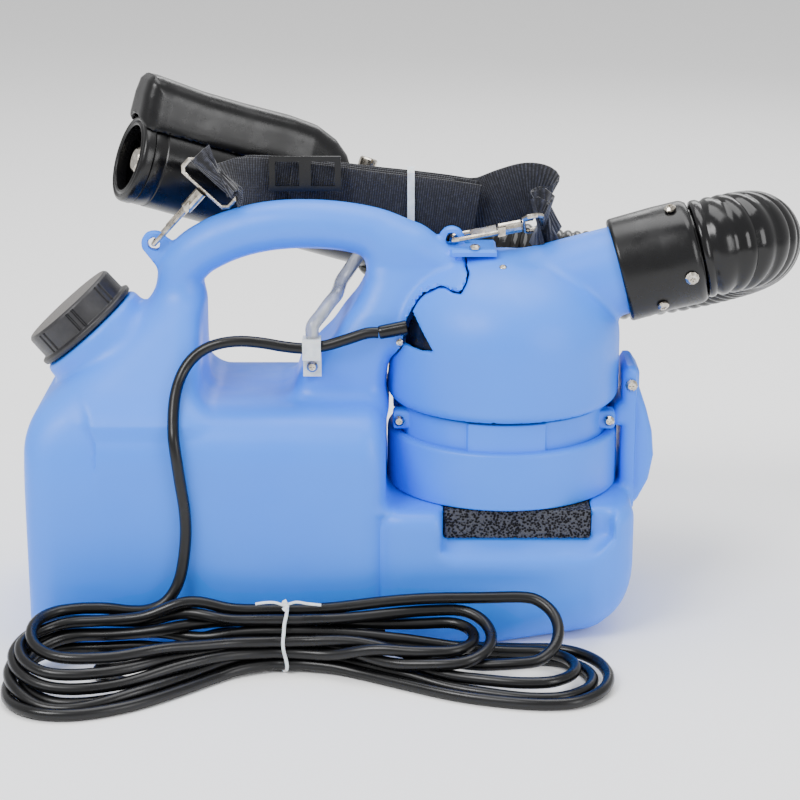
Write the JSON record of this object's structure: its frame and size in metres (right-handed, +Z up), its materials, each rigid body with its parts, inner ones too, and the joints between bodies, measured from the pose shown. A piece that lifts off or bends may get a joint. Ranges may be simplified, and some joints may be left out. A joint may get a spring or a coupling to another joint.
{
  "type": "ultra-low-volume cold fogger",
  "caption": "Electric cold fogger: a liquid tank with a carrying handle, a blower in a domed cover, a flexible hose, a nozzle, a shoulder strap and a mains cord.",
  "frame": {"origin": "the middle of the tank's flat underside, on the surface that it stands on", "axes": "+X along the tank from the filler cap to the blower, +Y away from the side with the cable clip, +Z up"},
  "size_m": [0.5257, 0.3674, 0.36],
  "materials": {
    "blue_plastic": "blow-moulded polyethylene, soft satin",
    "black_plastic": "injection-moulded, semi-gloss",
    "black_rubber": "moulded rubber, satin",
    "cord_sheath": "smooth flexible PVC sheath",
    "hose_black": "corrugated flexible hose, glossy",
    "black_webbing": "ribbed polypropylene webbing",
    "black_foam": "open-cell reticulated foam",
    "nickel": "nickel-plated steel",
    "steel": "machined steel",
    "copper": "copper winding",
    "aluminium": "pressed aluminium",
    "clear_tube": "clear flexible PVC",
    "white_nylon": "natural nylon",
    "carbon": "pressed carbon",
    "grey_rubber": "moulded rubber seal"
  },
  "bodies": {
    "root": {"blower_dome": "blue_plastic", "blower_ring": "blue_plastic", "brush_left": "carbon", "brush_right": "carbon", "cord_clip": "white_nylon", "cord_gland": "black_rubber", "cord_hank": "cord_sheath", "cord_tube": "cord_sheath", "diffuser_plate": "aluminium", "dip_tube": "clear_tube", "fan_shroud": "aluminium", "filter_foam": "black_foam", "flexible_hose": "hose_black", "flow_valve": "black_plastic", "hank_tie": "white_nylon", "hose_cuff": "black_rubber", "left_dee_ring": "nickel", "left_hook": "nickel", "liquid_tube": "clear_tube", "lower_bearing": "steel", "motor_bracket": "aluminium", "motor_flange": "blue_plastic", "motor_stator": "steel", "nozzle_barrel": "black_plastic", "nozzle_bezel": "black_plastic", "nozzle_connector": "black_rubber", "nozzle_grip": "black_plastic", "nozzle_tip": "nickel", "plug": "black_plastic", "right_dee_ring": "nickel", "right_hook": "nickel", "rubber_mount": "black_rubber", "screw_clip": "nickel", "screw_column": "nickel", "screw_cuff_low": "nickel", "screw_cuff_rear": "nickel", "screw_cuff_top": "nickel", "screw_ear_left": "nickel", "screw_ear_right": "nickel", "screw_flange": "nickel", "strap_bundle": "black_webbing", "strap_loop": "black_webbing", "strap_slider": "black_plastic", "suction_strainer": "white_nylon", "swirl_core": "black_plastic", "switch_frame": "black_plastic", "tank_shell": "blue_plastic", "upper_bearing": "steel", "zip_tie": "white_nylon"},
    "cap_seal": {"cap_gasket": "grey_rubber"},
    "cap": {"tank_cap": "black_plastic"},
    "rotor": {"motor_shaft": "steel", "armature": "copper", "commutator": "copper", "impeller": "aluminium", "impeller_nut": "steel"},
    "rocker": {"switch_rocker": "black_plastic"},
    "knob": {"flow_knob": "nickel"},
    "left_gate": {"left_hook_gate": "nickel"},
    "right_gate": {"right_hook_gate": "nickel"}
  },
  "joints": [
    {"name": "cap_lift", "type": "slide", "parent": "root", "child": "cap_seal", "axis": [-0.6559, 0, 0.7549], "range_m": [0, 0.01]},
    {"name": "cap_turn", "type": "hinge", "parent": "cap_seal", "child": "cap", "pos_m": [-0.162, 0, 0.197], "axis": [-0.6559, 0, 0.7549], "range_deg": [0, 720]},
    {"name": "rotor_spin", "type": "hinge", "parent": "root", "child": "rotor", "pos_m": [0.117, 0, 0.15], "axis": [0, 0, 1], "continuous": true},
    {"name": "switch_rock", "type": "hinge", "parent": "root", "child": "rocker", "pos_m": [0.02, 0.0414, 0.179], "axis": [1, 0, 0], "range_deg": [0, 12]},
    {"name": "flow_knob_turn", "type": "hinge", "parent": "root", "child": "knob", "pos_m": [0.02359, 0.10982, 0.28463], "axis": [0.3039, 0.1223, 0.9448], "range_deg": [0, 270]},
    {"name": "left_gate_swing", "type": "hinge", "parent": "root", "child": "left_gate", "pos_m": [-0.09532, 0.0074, 0.27679], "axis": [-0.7331, 0, 0.6801], "range_deg": [0, 12], "stiffness_Nm_per_rad": 0.05, "springref_deg": -5.73},
    {"name": "right_gate_swing", "type": "hinge", "parent": "root", "child": "right_gate", "pos_m": [0.11185, 0.0074, 0.26327], "axis": [-0.19, 0, 0.9818], "range_deg": [0, 12], "stiffness_Nm_per_rad": 0.05, "springref_deg": -5.73}
  ],
  "couplings": [
    {"joint": "cap_lift", "follows": "cap_turn", "m_per_rad": 0.000795}
  ]
}
